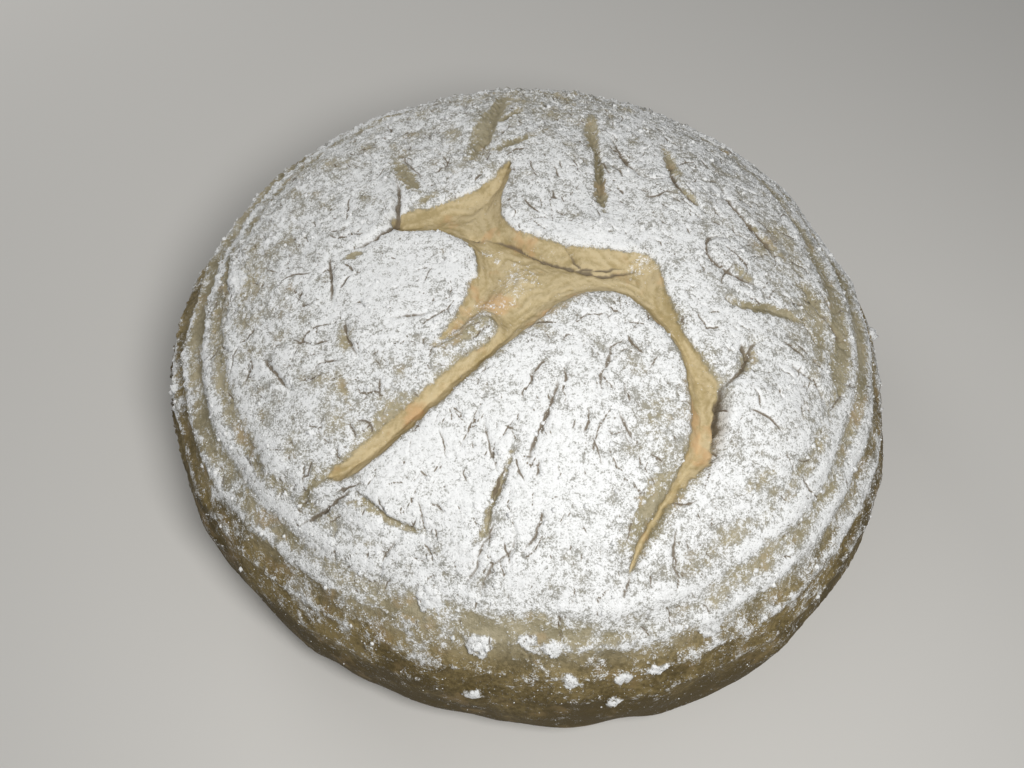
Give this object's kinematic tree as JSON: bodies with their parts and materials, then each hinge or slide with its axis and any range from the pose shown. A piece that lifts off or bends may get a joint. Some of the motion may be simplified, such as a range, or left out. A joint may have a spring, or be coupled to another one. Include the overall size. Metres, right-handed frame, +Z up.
{
  "type": "wood-fired bread",
  "caption": "Round hearth loaf with a domed floured crust, coil-form rings round the side, a star-shaped tear at the crown and a flat base.",
  "frame": {"origin": "centre of the loaf's plan, on the ground that its flat base rests on", "axes": "+Z up; +X to the right and +Y away from the viewer of the picture"},
  "size_m": [0.2452, 0.2358, 0.1039],
  "materials": {
    "crust": "dry tan crust under a thick, cracked coat of white flour, matt all over"
  },
  "bodies": {
    "root": {"loaf": "crust"}
  },
  "joints": []
}
